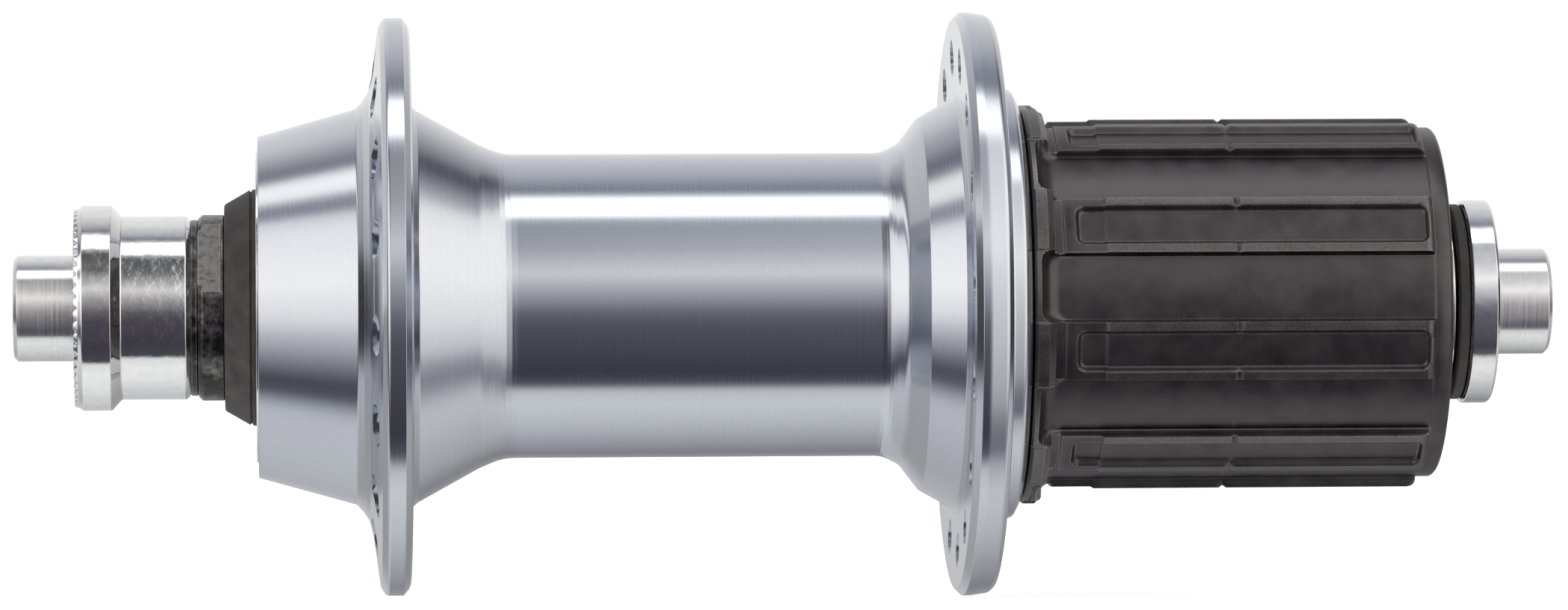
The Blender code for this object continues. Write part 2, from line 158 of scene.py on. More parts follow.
def corner_arc(before, corner, after, radius):
    """The points that round one corner of an outline."""
    back, ahead = before - corner, after - corner
    turn = math.pi - back.angle(ahead)
    if radius == 0 or turn < math.radians(2):
        return [corner]
    reach = min(radius * math.tan(turn / 2), back.length * 0.45, ahead.length * 0.45)
    radius = reach / math.tan(turn / 2)
    inward = (back.normalized() + ahead.normalized()).normalized()
    centre = corner + inward * (radius / math.cos(turn / 2))
    first = corner + back.normalized() * reach - centre
    last = corner + ahead.normalized() * reach - centre
    start = math.atan2(first.y, first.x)
    sweep = (math.atan2(last.y, last.x) - start + math.pi) % (2 * math.pi) - math.pi
    parts = max(2, math.ceil(math.degrees(abs(sweep)) / ARC_STEP))
    angles = [start + sweep * i / parts for i in range(parts + 1)]
    return [centre + Vector((math.cos(a), math.sin(a))) * radius for a in angles]


def held(points):
    """The same closed outline, with points close to the ends of each long straight, which keep it flat."""
    made = []
    for i, point in enumerate(points):
        start, end = Vector(point), Vector(points[(i + 1) % len(points)])
        made.append(point)
        length = (end - start).length
        if length > HELD_LENGTH:
            share = HELD_GAP / length
            made += [tuple(start.lerp(end, share)), tuple(end.lerp(start, share))]
    return made


def rounded(outline, usual=0.15):
    """A closed outline with its corners rounded, by usual or by a point's own third number."""
    corners = [Vector(point[:2]) for point in outline]
    radii = [point[2] if len(point) > 2 else usual for point in outline]
    made = []
    for i, corner in enumerate(corners):
        after = corners[(i + 1) % len(corners)]
        made += [(p.x, p.y) for p in corner_arc(corners[i - 1], corner, after, radii[i])]
    return held(made)


def ring_outline(left, right, inner_radius, outer_radius):
    return [(left, inner_radius), (left, outer_radius), (right, outer_radius), (right, inner_radius)]


def race_arc(ball_x, start, end):
    """The bearing surface of a cup or a cone, a little clear of its large balls."""
    return arc(ball_x, BALL_CIRCLE, BALL_RADIUS + BALL_CLEARANCE, start, end)


def small_race_arc(row_x, start, end):
    """The same for one of the freehub's rows of small balls."""
    return arc(row_x, SMALL_BALL_CIRCLE, SMALL_BALL_RADIUS + SMALL_BALL_CLEARANCE, start, end)


def polar(radius, angle):
    turn = math.radians(angle)
    return radius * math.cos(turn), radius * math.sin(turn)


# Meshes


def even_angles(steps):
    return [360 * i / steps for i in range(steps)]


def finish_mesh(bm, name):
    """Turns a closed bmesh into an object with smooth faces and sharp corners."""
    bmesh.ops.recalc_face_normals(bm, faces=bm.faces)
    mesh = bpy.data.meshes.new(name)
    bm.to_mesh(mesh)
    bm.free()
    mesh.shade_smooth()
    mesh.set_sharp_from_angle(angle=math.radians(SHARP_ANGLE))
    piece = bpy.data.objects.new(name, mesh)
    bpy.context.scene.collection.objects.link(piece)
    return piece


def lathe(name, outline, angles=None, shape=None):
    """A closed (x, r) outline turned about the hub axis. shape(x, r, angle) may move each point."""
    bm = bmesh.new()
    rings = []
    for angle in angles or even_angles(STEPS):
        points = [shape(x, r, angle) for x, r in outline] if shape else outline
        rings.append([bm.verts.new((x * MM, *(c * MM for c in polar(r, angle)))) for x, r in points])
    for ring, following in zip(rings, rings[1:] + rings[:1]):
        for i in range(len(outline)):
            j = (i + 1) % len(outline)
            bm.faces.new((ring[i], ring[j], following[j], following[i]))
    return finish_mesh(bm, name)


def cut(piece, bm):
    """Takes a closed bmesh away from a piece for good, and shades the result again."""
    tool = finish_mesh(bm, "tool")
    change = piece.modifiers.new("cut", "BOOLEAN")
    change.object = tool
    left = bpy.data.meshes.new_from_object(piece.evaluated_get(bpy.context.evaluated_depsgraph_get()))
    piece.modifiers.clear()
    piece.data = left
    bpy.data.objects.remove(tool)
    left.shade_smooth()
    left.set_sharp_from_angle(angle=math.radians(SHARP_ANGLE))


def stand_for(piece, node, finish=None):
    """The piece takes a CAD node's place, body and slot."""
    piece.data.materials.clear()
    piece.data.materials.append(finish or FINISH[SLOT_OF[node]])
    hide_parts(node)
    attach(piece, BODY_OF[node])
    return piece


def turn(node, outline, angles=None, shape=None, finish=None):
    return stand_for(lathe(f"{node}_fine", outline, angles, shape), node, finish)


# Shader nodes

# Sockets of a Mix node that blends colours, which share their names with its other kinds
MIX_SHARE = 0
MIX_COLOURS = (6, 7)
MIX_RESULT = 2


def new_material(name, metallic, roughness):
    """A material with one Principled BSDF, its node tree and the shader."""
    material = bpy.data.materials.new(name)
    material.use_nodes = True
    tree = material.node_tree
    shader = tree.nodes["Principled BSDF"]
    shader.inputs["Metallic"].default_value = metallic
    shader.inputs["Roughness"].default_value = roughness
    return material, tree, shader


def calculate(tree, operation, first, second=0.0):
    """A Math node on sockets or numbers."""
    node = tree.nodes.new("ShaderNodeMath")
    node.operation = operation
    for socket, value in zip(node.inputs, (first, second)):
        if isinstance(value, bpy.types.NodeSocket):
            tree.links.new(value, socket)
        else:
            socket.default_value = value
    return node.outputs[0]


def object_place(tree):
    return tree.nodes.new("ShaderNodeTexCoord").outputs["Object"]


def place_parts(tree):
    parts = tree.nodes.new("ShaderNodeSeparateXYZ")
    tree.links.new(object_place(tree), parts.inputs[0])
    return parts.outputs["X"], parts.outputs["Y"], parts.outputs["Z"]


def turning_radius(tree):
    """The distance from the hub axis, in metres."""
    _, y, z = place_parts(tree)
    squares = calculate(tree, "ADD", calculate(tree, "MULTIPLY", y, y), calculate(tree, "MULTIPLY", z, z))
    return calculate(tree, "SQRT", squares)


def turning_distance(tree):
    """x plus the distance from the hub axis, in mm: it grows across the lathe's marks on any turned face."""
    distance = calculate(tree, "ADD", place_parts(tree)[0], turning_radius(tree))
    return calculate(tree, "MULTIPLY", distance, 1 / MM)


def flat_share(tree):
    """1 on the cone's wrench flats, less with every step off their planes."""
    _, y, z = place_parts(tree)
    turn_to = math.radians(FLATS_ANGLE)
    across = calculate(
        tree,
        "ADD",
        calculate(tree, "MULTIPLY", y, math.cos(turn_to)),
        calculate(tree, "MULTIPLY", z, math.sin(turn_to)),
    )
    off = calculate(tree, "SUBTRACT", calculate(tree, "ABSOLUTE", across), FLATS_HALF * MM)
    return span(tree, calculate(tree, "ABSOLUTE", off), 1, 0, 0.1 * MM, 0.25 * MM)


def line_noise(tree, distance, per_mm, detail=2.0):
    """Noise that changes along one distance only, given in mm, as turned lines do."""
    node = tree.nodes.new("ShaderNodeTexNoise")
    node.noise_dimensions = "1D"
    node.inputs["Scale"].default_value = per_mm
    node.inputs["Detail"].default_value = detail
    tree.links.new(distance, node.inputs["W"])
    return node.outputs[0]


def speckle(tree, per_mm, detail=3.0, stretch=(1, 1, 1)):
    """Noise in space, with a scale along each axis."""
    mapping = tree.nodes.new("ShaderNodeMapping")
    mapping.inputs["Scale"].default_value = [per_mm * s / MM for s in stretch]
    tree.links.new(object_place(tree), mapping.inputs["Vector"])
    node = tree.nodes.new("ShaderNodeTexNoise")
    node.inputs["Scale"].default_value = 1.0
    node.inputs["Detail"].default_value = detail
    tree.links.new(mapping.outputs[0], node.inputs["Vector"])
    return node.outputs[0]


def span(tree, value, low, high, start=0.3, end=0.7):
    """Maps noise from start..end onto low..high."""
    node = tree.nodes.new("ShaderNodeMapRange")
    for name, number in zip(("From Min", "From Max", "To Min", "To Max"), (start, end, low, high)):
        node.inputs[name].default_value = number
    tree.links.new(value, node.inputs["Value"])
    return node.outputs[0]


def blend_colours(tree, share, first, second):
    """A Mix node on colours or colour sockets: first where share is 0, second where it is 1."""
    node = tree.nodes.new("ShaderNodeMix")
    node.data_type = "RGBA"
    tree.links.new(share, node.inputs[MIX_SHARE])
    for number, colour in zip(MIX_COLOURS, (first, second)):
        if isinstance(colour, bpy.types.NodeSocket):
            tree.links.new(colour, node.inputs[number])
        else:
            node.inputs[number].default_value = (*colour, 1)
    return node.outputs[MIX_RESULT]


def bump(tree, height, depth, strength, before=None):
    """Height in 0..1 made a bump of a depth in mm."""
    node = tree.nodes.new("ShaderNodeBump")
    node.inputs["Strength"].default_value = strength
    node.inputs["Distance"].default_value = depth * MM
    tree.links.new(height, node.inputs["Height"])
    if before:
        tree.links.new(before, node.inputs["Normal"])
    return node.outputs[0]


def edge_wear_and_highlight(tree, radius, low, high):
    """1 along edges and 0 away from them: how far the bevelled normal leans from the real one."""
    bevel = tree.nodes.new("ShaderNodeBevel")
    bevel.samples = 4
    bevel.inputs["Radius"].default_value = radius * MM
    geometry = tree.nodes.new("ShaderNodeNewGeometry")
    lean = tree.nodes.new("ShaderNodeVectorMath")
    lean.operation = "DOT_PRODUCT"
    tree.links.new(bevel.outputs[0], lean.inputs[0])
    tree.links.new(geometry.outputs["Normal"], lean.inputs[1])
    return span(tree, lean.outputs["Value"], 1, 0, low, high)


# Finishes


def round_the_axis(tree, shader, spread):
    """Spreads reflections along the hub axis, across the turned lines."""
    tangent = tree.nodes.new("ShaderNodeTangent")
    tangent.direction_type = "RADIAL"
    tangent.axis = "X"
    tree.links.new(tangent.outputs[0], shader.inputs["Tangent"])
    shader.inputs["Anisotropic"].default_value = spread
    shader.inputs["Anisotropic Rotation"].default_value = 0.25


def anodised_aluminium():
    """Satin silver with the lathe's fine lines."""
    material, tree, shader = new_material("anodised_aluminium", 1.0, 0.16)
    distance = turning_distance(tree)
    lines = line_noise(tree, distance, 7.0, 2.0)
    grain = speckle(tree, 6.0, 2.0, (1, 0.35, 0.35))
    share = calculate(tree, "ADD", span(tree, lines, 0, 0.5), span(tree, grain, 0, 0.5))
    tree.links.new(
        blend_colours(tree, share, (0.625, 0.66, 0.72), (0.675, 0.705, 0.765)),
        shader.inputs["Base Color"],
    )
    tree.links.new(span(tree, lines, 0.14, 0.19), shader.inputs["Roughness"])
    first = bump(tree, lines, 0.008, 0.04)
    tree.links.new(bump(tree, grain, 0.01, 0.06, first), shader.inputs["Normal"])
    round_the_axis(tree, shader, 0.35)
    return material


def plated_steel():
    """Bright plating, close to a mirror, over slightly uneven turned steel."""
    material, tree, shader = new_material("plated_steel", 1.0, 0.1)
    mottle = speckle(tree, 1.2, 4.0)
    ripple = speckle(tree, 1.1, 3.0)
    tree.links.new(
        blend_colours(tree, span(tree, mottle, 0, 1), (0.87, 0.88, 0.89), (0.96, 0.96, 0.955)),
        shader.inputs["Base Color"],
    )
    tree.links.new(span(tree, mottle, 0.04, 0.09), shader.inputs["Roughness"])
    first = bump(tree, ripple, 0.06, 0.18)
    tree.links.new(bump(tree, mottle, 0.03, 0.08, first), shader.inputs["Normal"])
    return material


def turned_plating():
    """The same plating over coarser turned lines, as on the axle's ends."""
    material, tree, shader = new_material("turned_plating", 1.0, 0.26)
    lines = line_noise(tree, turning_distance(tree), 4.0, 3.0)
    mottle = speckle(tree, 1.2, 4.0)
    tree.links.new(
        blend_colours(tree, span(tree, mottle, 0, 1), (0.86, 0.87, 0.88), (0.95, 0.95, 0.945)),
        shader.inputs["Base Color"],
    )
    tree.links.new(span(tree, lines, 0.20, 0.28), shader.inputs["Roughness"])
    tree.links.new(bump(tree, lines, 0.02, 0.12), shader.inputs["Normal"])
    round_the_axis(tree, shader, 0.92)
    return material


def black_steel():
    """Blackened steel, rubbed through to grey on its edges."""
    material, tree, shader = new_material("black_steel", 1.0, 0.4)
    mottle = speckle(tree, 1.8, 5.0)
    lines = line_noise(tree, turning_distance(tree), 4.0)
    black = blend_colours(tree, span(tree, mottle, 0, 1), (0.035, 0.035, 0.035), (0.085, 0.082, 0.08))
    wear_and_highlight = calculate(tree, "MULTIPLY", edge_wear_and_highlight(tree, 0.25, 0.93, 0.995), span(tree, mottle, 0.3, 1))
    patches = span(tree, speckle(tree, 0.28, 3.0), 0, 1, 0.5, 0.62)
    patches = calculate(tree, "MULTIPLY", patches, span(tree, mottle, 0.05, 0.55))
    wear_and_highlight = calculate(tree, "MAXIMUM", wear_and_highlight, patches)
    flats = calculate(tree, "MULTIPLY", flat_share(tree), span(tree, mottle, 0.08, 0.42))
    wear_and_highlight = calculate(tree, "MAXIMUM", wear_and_highlight, flats)
    tree.links.new(blend_colours(tree, wear_and_highlight, black, (0.42, 0.41, 0.40)), shader.inputs["Base Color"])
    tree.links.new(span(tree, mottle, 0.22, 0.42), shader.inputs["Roughness"])
    first = bump(tree, lines, 0.03, 0.15)
    tree.links.new(bump(tree, mottle, 0.08, 0.25, first), shader.inputs["Normal"])
    return material


def freehub_steel():
    """Dark satin steel with a faint oily mottle, a little brighter along its edges, where a highlight is
    painted into its colour.
    """
    material, tree, shader = new_material("freehub_steel", 1.0, 0.42)
    mottle = speckle(tree, 0.4, 6.0)
    grain = speckle(tree, 5.0, 3.0)
    dark = blend_colours(tree, span(tree, mottle, 0, 1), (0.085, 0.079, 0.083), (0.122, 0.112, 0.115))
    # Painted highlight: the edges take the paler colour, broken up by the grain.
    wear_and_highlight = calculate(tree, "MULTIPLY", edge_wear_and_highlight(tree, 0.3, 0.9, 0.99), span(tree, grain, 0.35, 1))
    rubbed = span(tree, turning_radius(tree), 0, 0.4, (RIDGE_RADIUS - 0.15) * MM, RIDGE_RADIUS * MM)
    rubbed = calculate(tree, "MULTIPLY", rubbed, span(tree, grain, 0.3, 1))
    wear_and_highlight = calculate(tree, "MAXIMUM", wear_and_highlight, rubbed)
    # The paler colour carries the painted edge highlight and the rubbed ridge tops.
    tree.links.new(blend_colours(tree, wear_and_highlight, dark, (0.33, 0.305, 0.30)), shader.inputs["Base Color"])
    tree.links.new(span(tree, mottle, 0.30, 0.40), shader.inputs["Roughness"])
    tree.links.new(bump(tree, grain, 0.03, 0.3), shader.inputs["Normal"])
    return material


def ground_steel():
    """Ground bearing parts: even grey with fine lines round the axis."""
    material, tree, shader = new_material("ground_steel", 1.0, 0.25)
    lines = line_noise(tree, turning_distance(tree), 5.0)
    tree.links.new(
        blend_colours(tree, span(tree, lines, 0, 1), (0.50, 0.50, 0.51), (0.68, 0.68, 0.69)),
        shader.inputs["Base Color"],
    )
    tree.links.new(span(tree, lines, 0.18, 0.32), shader.inputs["Roughness"])
    tree.links.new(bump(tree, lines, 0.02, 0.15), shader.inputs["Normal"])
    return material


def bearing_steel():
    """Polished balls, with a trace of grease on them."""
    material, tree, shader = new_material("bearing_steel", 1.0, 0.05)
    film = speckle(tree, 0.8, 4.0)
    tree.links.new(
        blend_colours(tree, span(tree, film, 0, 1), (0.80, 0.80, 0.81), (0.88, 0.88, 0.89)),
        shader.inputs["Base Color"],
    )
    tree.links.new(span(tree, film, 0.03, 0.12), shader.inputs["Roughness"])
    return material


def seal_rubber():
    """Matte black rubber with a fine moulded grain."""
    material, tree, shader = new_material("seal_rubber", 0.0, 0.6)
    grain = speckle(tree, 5.0, 3.0)
    dust = speckle(tree, 0.7, 4.0)
    tree.links.new(
        blend_colours(tree, span(tree, dust, 0, 1), (0.022, 0.020, 0.020), (0.062, 0.057, 0.056)),
        shader.inputs["Base Color"],
    )
    tree.links.new(span(tree, dust, 0.5, 0.75), shader.inputs["Roughness"])
    tree.links.new(bump(tree, grain, 0.04, 0.3), shader.inputs["Normal"])
    return material


FINISH = {
    make.__name__: make()
    for make in (
        anodised_aluminium,
        plated_steel,
        black_steel,
        freehub_steel,
        ground_steel,
        bearing_steel,
        seal_rubber,
    )
}


# Pieces that stay still with the bicycle's frame


def tooth_wave(angle, teeth):
    """0 at a knurl's round crest and 1 in its sharp groove."""
    return 1 - abs(math.sin(math.pi * angle * teeth / 360)) ** 0.8


def make_axle():
    outline = [
        (-AXLE_END, AXLE_BORE, 0.3),
        (-AXLE_END, AXLE_RADIUS - 0.35),
        (-AXLE_END + 0.35, AXLE_RADIUS),
        (AXLE_END - 0.35, AXLE_RADIUS),
        (AXLE_END, AXLE_RADIUS - 0.35),
        (AXLE_END, AXLE_BORE, 0.3),
    ]
    turn("axle", rounded(outline, 0.12), finish=turned_plating())


def knurled(x, r, angle):
    """Cuts radial teeth into a locknut's outer face."""
    start = LOCKNUT_FACE - KNURL_DEPTH
    beyond = abs(x) - start
    if beyond <= 0 or r < KNURL_INNER_RADIUS or (x > 0 and r > RIGHT_KNURL_RADIUS):
        return x, r
    depth = beyond * tooth_wave(angle, KNURL_TEETH)
    return math.copysign(abs(x) - depth, x), r - 0.3 * depth


def make_left_locknut():
    outline = [
        (-LOCKNUT_FACE, THREAD_RADIUS),
        (-LOCKNUT_FACE, 9.0, 0.12),
        (-64.56, 9.12, 0.05),
        (-64.2, 9.38, 0.2),
        (-61.62, 9.38, 0.1),
        (-60.7, 8.38, 0.2),
        (-54.8, 8.38, 0.2),
        (-54.4, 8.0, 0.1),
        (-54.4, THREAD_RADIUS),
    ]
    turn("left_locknut", rounded(outline), even_angles(KNURL_TEETH * STEPS_PER_KNURL_TOOTH), knurled)


def make_right_locknut():
    outline = [
        (62.4, THREAD_RADIUS),
        (62.4, 9.15),
        (62.6, 9.35, 0.2),
        (64.75, 9.35, 0.1),
        (LOCKNUT_FACE, 9.15, 0.12),
        (LOCKNUT_FACE, RIGHT_KNURL_RADIUS, 0),
        (LOCKNUT_FACE, THREAD_RADIUS),
    ]
    turn("right_locknut", rounded(outline), even_angles(KNURL_TEETH * STEPS_PER_KNURL_TOOTH), knurled)


def wrench_flats(x, r, angle):
    """Two flats, 15 mm across, on the cone's outer collar."""
    if x > FLATS_END or r < FLATS_HALF - 0.05:
        return x, r
    across = abs(math.cos(math.radians(angle - FLATS_ANGLE)))
    return x, min(r, FLATS_HALF / max(across, 0.01))


def make_left_cone():
    outline = [
        (-53.72, THREAD_RADIUS, 0),
        (-53.72, 8.1),
        (-53.3, 8.5, 0.3),
        (-51.65, 8.5, 0),
        (-51.58, 8.5, 0),
        (-51.32, 8.5),
        (-51.32, 7.2),
        (-48.4, 7.2),
        (-48.4, 8.57, 0),
        *(race + (0,) for race in race_arc(LEFT_BALL_X, 200, 270)),
        (LEFT_BALL_X + 2.2, 6.3),
        (LEFT_BALL_X + 2.7, 5.9),
        (LEFT_BALL_X + 2.7, THREAD_RADIUS, 0),
    ]
    turn("left_cone", rounded(outline), even_angles(CONE_STEPS), wrench_flats)


def make_left_seal():
    outline = [
        (-51.3, 7.5, 0),
        (-51.3, 9.42, 0.35),
        (-48.98, 10.76, 0.08),
        (-48.9, 10.6, 0.04),
        (-48.82, 10.6, 0.04),
        (-48.74, 10.8, 0.06),
        (-48.3, 10.85, 0.06),
        (-48.28, 7.5, 0),
    ]
    turn("left_seal", rounded(outline))


def make_right_cone():
    outline = [
        (RIGHT_BALL_X - 2.7, THREAD_RADIUS, 0),
        (RIGHT_BALL_X - 2.7, 5.9),
        (RIGHT_BALL_X - 2.2, 6.3),
        *(race + (0,) for race in race_arc(RIGHT_BALL_X, 270, 340)),
        (58.9, 8.57, 0.1),
        (58.9, 8.2, 0.05),
        (59.4, 8.2, 0.1),
        (59.4, THREAD_RADIUS, 0),
    ]
    turn("right_cone", rounded(outline))


def make_plain_rings():
    """Washer, spacer and seals: plain rings with broken edges."""
    rings = {
        "left_washer": ((-54.38, -53.74, THREAD_RADIUS, 8.05), 0.12),
        "right_spacer": ((59.55, 61.2, THREAD_RADIUS, 8.3), 0.25),
        "right_seal": ((61.25, 62.38, THREAD_RADIUS, 9.0), 0.3),
        "freehub_seal": ((20.4, 21.45, 16.2, 17.4), 0.2),
        "freehub_dust_cap": ((58.3, 59.1, 9.2, 14.7), 0.25),
    }
    for node, (sizes, corner) in rings.items():
        turn(node, rounded(ring_outline(*sizes), corner))


# Pieces that turn with the wheel


def shell_outline():
    """The shell's outside from left to right, then its bores from right to left."""
    return [
        (-48.25, 15.61, 0.12),
        (-39.3, 18.12, 0.4),
        (-38.7, 18.75, 0.8),
        (-38.15, 19.6, 0.8),
        (-37.8, 21.0, 1.0),
        (-37.15, 25.7, 0.6),
        (-36.65, 26.46, 0.4),
        (-35.08, 26.46, 0.06),
        (-34.56, 25.86, 0.12),
        (-34.4, 25.4, 0.2),
        (-34.4, 18.6, 0.6),
        (-33.75, 17.97, 0.6),
        (-28.1, 14.85, 4.0),
        (-25.9, 13.92, 7.0),
        (8.9, 13.92, 3.0),
        (10.5, 14.75, 1.6),
        (12.3, 17.1, 0.15),
        (15.4, 18.85, 0.3),
        (15.84, 19.4, 0.4),
        (15.62, 26.2, 0.08),
        (16.24, 26.8, 0.08),
        (16.9, 26.8, 2.0),
        (18.5, 26.56, 0.6),
        (19.0, 26.1, 0.35),
        (19.0, 20.6, 0.5),
        (19.5, 19.85, 0.4),
        (20.75, 19.68, 0.5),
        (21.3, 18.6, 0.2),
        (21.3, 17.6, 0.1),
        (20.1, 17.6, 0.1),
        (20.1, 16.0, 0.1),
        (21.3, 16.0, 0.1),
        (21.3, 12.0, 0.1),
        (15.2, 12.0, 0),
        (15.2, 7.3, 0.1),
        (8.5, 7.3, 0.1),
        (6.0, 11.9, 0.5),
        (-39.8, 11.9, 0.1),
        (-39.8, 14.5, 0),
        (-48.25, 14.5, 0.1),
    ]


def add_spool(bm, y, z, left, right):
    """A drill for one spoke hole, wider at both ends to break the hole's edges."""
    radius = SPOKE_HOLE_RADIUS
    past = 0.6
    wide = radius + SPOKE_HOLE_FLARE + past
    outline = [(left - past, wide), (left + SPOKE_HOLE_FLARE, radius)]
    outline += [(right - SPOKE_HOLE_FLARE, radius), (right + past, wide)]
    steps = SPOKE_HOLE_STEPS
    rings = []
    for x, r in outline:
        offsets = [polar(r, 360 * i / steps) for i in range(steps)]
        rings.append([bm.verts.new((x * MM, (y + dy) * MM, (z + dz) * MM)) for dy, dz in offsets])
    for ring, following in zip(rings, rings[1:]):
        for i in range(steps):
            j = (i + 1) % steps
            bm.faces.new((ring[i], ring[j], following[j], following[i]))
    bm.faces.new(rings[0])
    bm.faces.new(rings[-1])


def make_hub_shell():
    shell = lathe("hub_shell_fine", rounded(shell_outline()), even_angles(SHELL_STEPS))
    bm = bmesh.new()
    pitch = 360 / SPOKES_PER_FLANGE
    for hole in range(SPOKES_PER_FLANGE):
        angle = LEFT_SPOKE_PHASE + pitch * hole
        add_spool(bm, *polar(LEFT_SPOKE_CIRCLE, angle), *LEFT_FLANGE)
        add_spool(bm, *polar(RIGHT_SPOKE_CIRCLE, angle + pitch / 2), *RIGHT_FLANGE)
    cut(shell, bm)
    stand_for(shell, "hub_shell")


def make_left_cup():
    outline = [
        (-47.0, 14.2),
        (-47.0, 13.2),
        *(race + (0,) for race in race_arc(LEFT_BALL_X, 90, 0)),
        (LEFT_BALL_X + BALL_RADIUS + BALL_CLEARANCE, 9.2, 0.05),
        (-40.1, 9.2),
        (-40.1, 14.2),
    ]
    turn("left_bearing_cup", rounded(outline, 0.2))


def make_left_dust_cap():
    outline = [
        (-48.42, 11.2, 0.08),
        (-48.42, 14.2, 0.08),
        (-47.55, 14.2, 0.1),
        (-47.55, 13.6, 0.1),
        (-48.05, 13.6, 0.2),
        (-48.05, 11.2, 0.1),
    ]
    turn("left_dust_cap", rounded(outline))


def make_locking_cup():
    outline = [
        (45.0, 8.7),
        (45.0, 9.9),
        (49.0, 9.9, 0.1),
        (49.0, 11.29, 0),
        *(race + (0,) for race in small_race_arc(OUTER_ROW_X, 270, 360)),
        (OUTER_ROW_X + SMALL_BALL_RADIUS + SMALL_BALL_CLEARANCE, 14.6),
        (57.9, 14.6, 0.3),
        (57.9, 13.2),
        *(race + (0,) for race in race_arc(RIGHT_BALL_X, 90, 180)),
        (RIGHT_BALL_X - BALL_RADIUS - BALL_CLEARANCE, 8.7, 0.1),
    ]
    turn("locking_cup", rounded(outline, 0.15))


# Bearing balls


def add_ball(bm, x, radius, circle, angle, fineness):
    y, z = polar(circle, angle)
    place = Matrix.Translation((x * MM, y * MM, z * MM))
    bmesh.ops.create_icosphere(bm, subdivisions=fineness, radius=radius * MM, matrix=place)


def make_large_balls():
    for side, x in (("left", LEFT_BALL_X), ("right", RIGHT_BALL_X)):
        for number in range(BALLS_PER_SIDE):
            node = f"{side}_ball_{number + 1}"
            bm = bmesh.new()
            angle = FIRST_BALL_ANGLE + 360 * number / BALLS_PER_SIDE
            add_ball(bm, x, BALL_RADIUS, BALL_CIRCLE, angle, LARGE_BALL_FINENESS)
            stand_for(finish_mesh(bm, f"{node}_fine"), node)


def make_small_rows():
    """Each row's balls, on the thin cage ring that joins them."""
    inside, outside = SMALL_BALL_CIRCLE - CAGE_HALF, SMALL_BALL_CIRCLE + CAGE_HALF
    for node, x in (("freehub_inner_row", INNER_ROW_X), ("freehub_outer_row", OUTER_ROW_X)):
        bm = bmesh.new()
        for number in range(SMALL_BALLS_PER_ROW):
            angle = 360 * (number + SMALL_BALL_PHASE) / SMALL_BALLS_PER_ROW
            add_ball(bm, x, SMALL_BALL_RADIUS, SMALL_BALL_CIRCLE, angle, SMALL_BALL_FINENESS)
        stand_for(finish_mesh(bm, f"{node}_fine"), node)
        ring = ring_outline(x - CAGE_HALF, x + CAGE_HALF, inside, outside)
        cage = lathe(f"{node}_cage", rounded(ring, 0.1))
        cage.data.materials.append(FINISH["ground_steel"])
        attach(cage, BODY_OF[node])


# The freehub body


def rise(value, start, end):
    """A smooth step from 0 at start to 1 at end."""
    share = min(1.0, max(0.0, (value - start) / (end - start)))
    return share * share * (3 - 2 * share)


def along(x, points):
    """Straight lines through (x, radius) points."""
    for (x0, r0), (x1, r1) in zip(points, points[1:]):
        if x <= x1:
            return r0 + (r1 - r0) * (x - x0) / (x1 - x0)
    return points[-1][1]


RIDGE_LINE = [
    (21.6, 18.1),
    (21.9, 18.4),
    (22.9, 18.4),
    (23.5, 17.8),
    (23.53, 16.6),
    (24.42, 16.6),
    (24.45, 16.8),
    (24.6, 16.87),
    (28.1, 16.87),
    (28.4, RIDGE_RADIUS),
    (57.45, RIDGE_RADIUS),
    (57.75, 16.97),
    (58.0, 16.78),
    (58.12, 16.5),
    (58.15, END_RING_RADIUS),
    (59.4, END_RING_RADIUS),
    (59.6, 15.98),
    (59.75, 15.8),
    (59.8, 15.6),
]
VALLEY_LINE = [
    (21.6, 18.0),
    (21.8, 18.2),
    (22.2, 18.2),
    (22.25, VALLEY_RADIUS),
    (58.0, VALLEY_RADIUS),
    (58.2, END_RING_RADIUS),
    (59.4, END_RING_RADIUS),
    (59.6, 15.98),
    (59.75, 15.8),
    (59.8, 15.6),
]
SCOOP_START = 22.2
SCOOP_LENGTH = 1.8
SCOOP_HEIGHT = 2.05
CORNER = 1.2
WALL = 0.07
POCKET_START = 25.5
POCKET_END = 57.7
POCKET_MARGIN = 0.85
POCKET_CORNER = 0.9
POCKET_DEPTH = 0.55
POCKET_EDGE = 0.42
NOTCH_X = 40.3
NOTCH_HALF = 0.35
NOTCH_DEPTH = 0.25


def ridge_near(angle):
    """How far an angle is from its nearest ridge's middle, and half that ridge's width, in mm of arc."""
    pitch = 360 / SPLINES
    number = round((angle - SPLINE_PHASE) / pitch)
    width = KEY_RIDGE_WIDTH if number % SPLINES == SPLINES - 1 else RIDGE_WIDTH
    away = math.radians(angle - SPLINE_PHASE - pitch * number) * RIDGE_RADIUS
    return away, math.radians(width / 2) * RIDGE_RADIUS


def valley_radius(x, inside):
    """The trough's floor, inside mm away from its nearer wall, with a scooped left end."""
    corner = max(0.0, CORNER - inside)
    start = SCOOP_START + CORNER - math.sqrt(CORNER**2 - corner**2)
    share = (x - start) / SCOOP_LENGTH
    if share >= 1:
        return along(x, VALLEY_LINE)
    if share <= 0:
        return along(min(x, SCOOP_START), VALLEY_LINE)
    return VALLEY_RADIUS + SCOOP_HEIGHT * (1 - math.sqrt(1 - (1 - share) ** 2))


def pocket_share(x, side):
    """0 outside the pocket on top of a ridge, 1 on its floor. side is the distance from the ridge's wall."""
    past_x = max(POCKET_START + POCKET_CORNER - x, x - POCKET_END + POCKET_CORNER)
    past_side = POCKET_MARGIN + POCKET_CORNER - side
    outside = math.hypot(max(past_x, 0), max(past_side, 0)) + min(max(past_x, past_side), 0)
    return rise(POCKET_CORNER - outside, 0, POCKET_EDGE)


